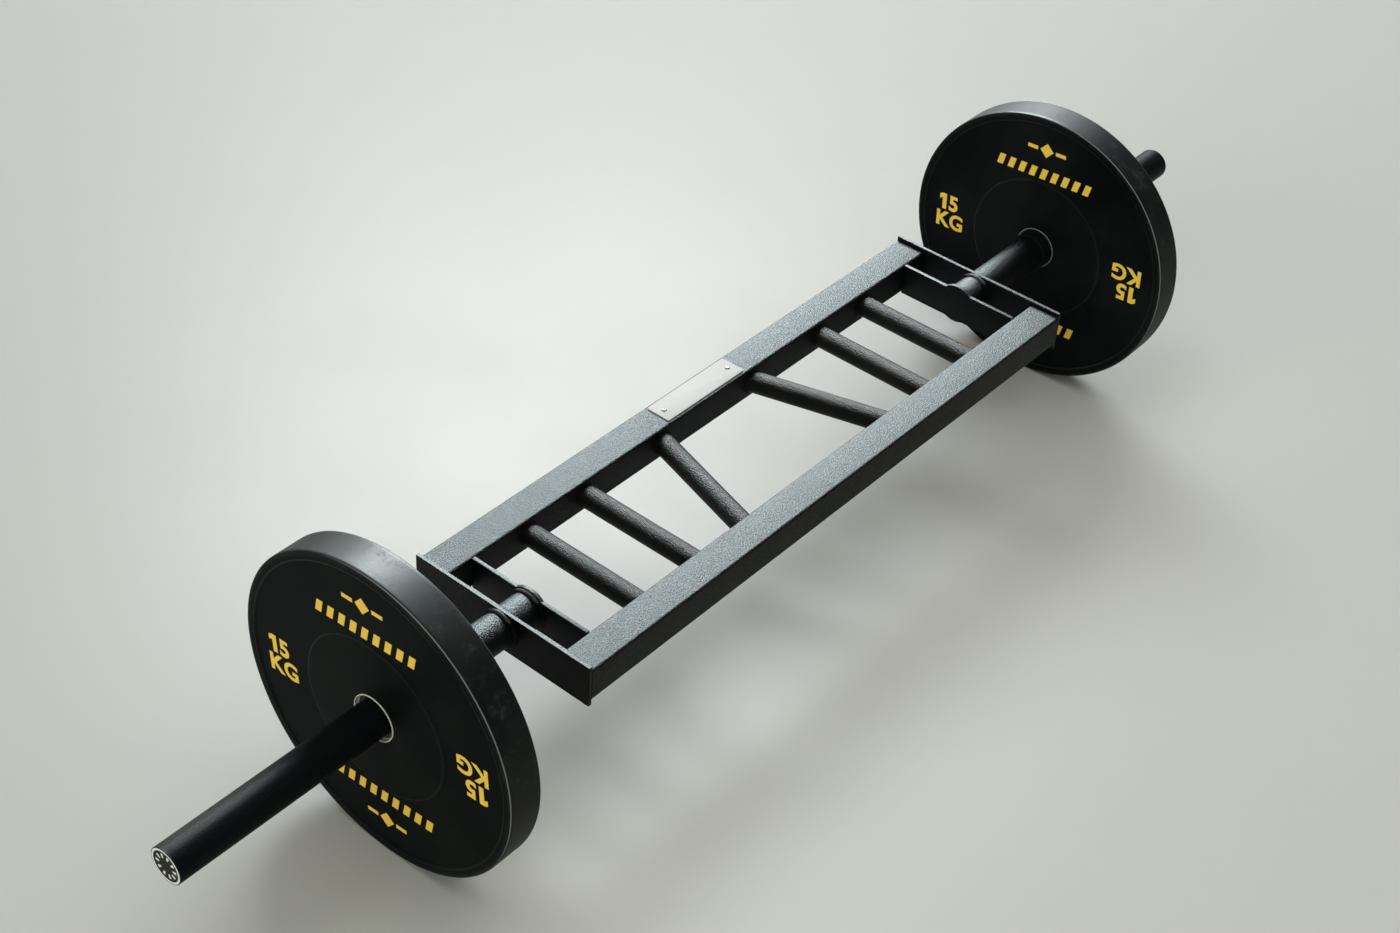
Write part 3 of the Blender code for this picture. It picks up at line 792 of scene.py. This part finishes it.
badge_metal = Finish("badge_satin_aluminium", Specular_IOR_Level=0.15)
badge_brush = badge_metal.noise(1500.0, 2.0, 0.6, stretch=(0.02, 1.0, 1.0))
badge_cloud = badge_metal.noise(30.0, 4.0, 0.6)
badge_metal.set("Base Color", badge_metal.mix(badge_cloud, BADGE_PALE, BADGE_DULL))
badge_metal.set("Roughness", 0.66 + (badge_brush - 0.5) * 0.30)
badge_metal.bump(badge_brush, 0.04 * MM)


def level_with(edge, z):
    """Whether all of an edge lies at one height."""
    return all(abs(v.co.z - z) < 0.01 * MM for v in edge.verts)


low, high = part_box("badge_plate")
bpy.ops.mesh.primitive_cube_add(size=1.0, location=(low + high) / 2, scale=high - low)
badge = open_new()
pick("EDGE", lambda e: abs(e.verts[0].co.z - e.verts[1].co.z) > 0.5 * MM)
bpy.ops.mesh.bevel(offset=BADGE_CORNER, segments=6, affect="EDGES")
pick("EDGE", lambda e: level_with(e, high.z) and e.calc_face_angle(0.0) > 1.0)
bpy.ops.mesh.bevel(offset=BADGE_EDGE, segments=2, affect="EDGES")
finish_piece(badge, "name_plate_blank", badge_metal, "frame", ["badge_plate"])


# Rivets: two aluminium blind rivets through the name plate. The hollow left by the pulled stem
# shows as a dark dot in each head, and a ring of painted shade lies round the foot of the dome.
RIVET_HEIGHT = 1.4 * MM
RIVET_DOME = 1.1 * MM
RIVET_FLAT = 0.8 * MM
RIVET_HOLLOW_SLOPE = 0.15 * MM
RIVET_HOLLOW_DEPTH = 0.7 * MM
RIVET_SHADE_RADIUS = 2.9 * MM
RIVET_PLACE = sum(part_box("badge_rivet_right"), Vector()) / 2
RIVET_PALE = (0.50, 0.47, 0.46, 1.0)
RIVET_DULL = (0.40, 0.38, 0.37, 1.0)
RIVET_FOOT_SHADE = (0.05, 0.045, 0.045, 1.0)

rivet_metal = Finish("rivet_aluminium", Roughness=0.5, Specular_IOR_Level=0.4)
rivet_grain = rivet_metal.noise(900.0, 2.0)
rivet_radius = distance(abs(rivet_metal.axis("X")) - RIVET_PLACE.x,
                        rivet_metal.axis("Y") - RIVET_PLACE.y)
rivet_metal.set("Base Color", rivet_metal.mix(rivet_grain, RIVET_PALE, RIVET_DULL))
# Painted shade: a dark ring round the foot of each dome.
rivet_metal.recolour(rivet_radius.band(RIVET_SHADE_RADIUS, 0.7 * MM, 0.3 * MM), RIVET_FOOT_SHADE)
rivet_metal.bump(rivet_grain, 0.06 * MM)

for side in SIDES:
    low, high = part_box(f"badge_rivet_{side}")
    middle = (low + high) / 2
    head_radius = (high.x - low.x) / 2
    bpy.ops.mesh.primitive_cylinder_add(vertices=48, radius=head_radius, depth=RIVET_HEIGHT,
                                        location=(middle.x, middle.y, high.z - RIVET_HEIGHT / 2))
    rivet = open_new()
    pick("EDGE", lambda e: level_with(e, high.z))
    bpy.ops.mesh.bevel(offset=RIVET_DOME, segments=5, affect="EDGES")
    pick("FACE", lambda f: f.normal.z > 0.99)
    bpy.ops.mesh.inset(thickness=RIVET_FLAT, depth=0.0)
    bpy.ops.mesh.inset(thickness=RIVET_HOLLOW_SLOPE, depth=-RIVET_HOLLOW_DEPTH)
    finish_piece(rivet, f"rivet_head_{side}", rivet_metal, "frame",
                 [f"badge_rivet_{side}"], smooth=40)


# Studio: a pale plain floor, a soft window behind and to the right, a pale wall beyond it and two
# broad dim lamps over the camera's side. Three reflectors show only in glossy surfaces.
FLOOR_SIZE = 40.0
FLOOR_PALE = (0.558, 0.549, 0.545, 1.0)
FLOOR_SHADE = (0.524, 0.516, 0.511, 1.0)
DAYLIGHT = (0.90, 0.98, 1.0)
ROOM_LIGHT = (0.97, 1.0, 0.86)
WORLD_LIGHT = (0.97, 0.99, 0.97, 1.0)
WORLD_STRENGTH = 0.15
AIM = Vector((0.0, 0.0, 0.15))

# The small metallic share gives an even sheen that doesn't grow towards the horizon
floor_finish = Finish("pale_floor", Metallic=0.0115, Specular_IOR_Level=0.0)
floor_cloud = floor_finish.noise(2.3, 5.0, 0.6)
floor_finish.set("Base Color", floor_finish.mix(floor_cloud, FLOOR_PALE, FLOOR_SHADE))
floor_finish.set("Roughness", 0.42 + (floor_cloud - 0.5) * 0.2)
bpy.ops.mesh.primitive_plane_add(size=FLOOR_SIZE, location=(0, 0, 0))
floor = bpy.context.object
floor.name = "studio_floor"
floor.data.materials.append(floor_finish.material)


def soft_lamp(name, place, width, height, watts, colour):
    lamp = bpy.data.lights.new(name, "AREA")
    lamp.shape = "RECTANGLE"
    lamp.size = width
    lamp.size_y = height
    lamp.energy = watts
    lamp.color = colour
    holder = bpy.data.objects.new(name, lamp)
    holder.location = place
    holder.rotation_euler = (AIM - Vector(place)).to_track_quat("-Z", "Y").to_euler()
    bpy.context.scene.collection.objects.link(holder)
    return holder


soft_lamp("window", (1.85, 2.40, 2.55), 1.0, 0.9, 16.0, DAYLIGHT)
soft_lamp("pale_wall", (4.70, 3.15, 4.55), 4.6, 2.2, 245.0, DAYLIGHT)
soft_lamp("side_wall", (-10.0, 0.0, 4.2), 8.3, 6.6, 495.0, ROOM_LIGHT).visible_glossy = False
soft_lamp("ceiling", (0.1, -1.4, 5.0), 6.0, 6.0, 160.0, ROOM_LIGHT).visible_glossy = False
for name, place, width, height, watts in (("reflector", (2.30, 2.50, 3.00), 2.0, 1.6, 1330.0),
                                          ("low_reflector", (4.17, 4.17, 1.40), 5.5, 1.9, 150.0),
                                          ("back_reflector", (0.84, 4.76, 1.54), 3.5, 2.7, 30.0)):
    soft_lamp(name, place, width, height, watts, DAYLIGHT).visible_diffuse = False

world = bpy.data.worlds.new("studio")
bpy.context.scene.world = world
world.use_nodes = True
world.node_tree.nodes["Background"].inputs["Color"].default_value = WORLD_LIGHT
world.node_tree.nodes["Background"].inputs["Strength"].default_value = WORLD_STRENGTH


# Camera: the photograph's, fitted to the bar's edges. It looks down on the bar from its left
# front, with a 56 mm lens and a slight roll.
camera_data = bpy.data.cameras.new("camera")
camera_data.sensor_width = 36.0
camera_data.lens = 56.04
camera = bpy.data.objects.new("camera", camera_data)
camera.location = (-1.9201, -1.3799, 1.8752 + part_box("front_rail")[0][2] + 25 * MM)
heading, pitch, roll = math.radians(-52.241), math.radians(39.190), math.radians(4.077)
camera.matrix_world = (Matrix.Translation(camera.location) @ Matrix.Rotation(heading, 4, "Z")
                       @ Matrix.Rotation(math.pi / 2 - pitch, 4, "X") @ Matrix.Rotation(roll, 4, "Z"))
bpy.context.scene.collection.objects.link(camera)
bpy.context.scene.camera = camera
bpy.context.scene.view_settings.view_transform = "Standard"
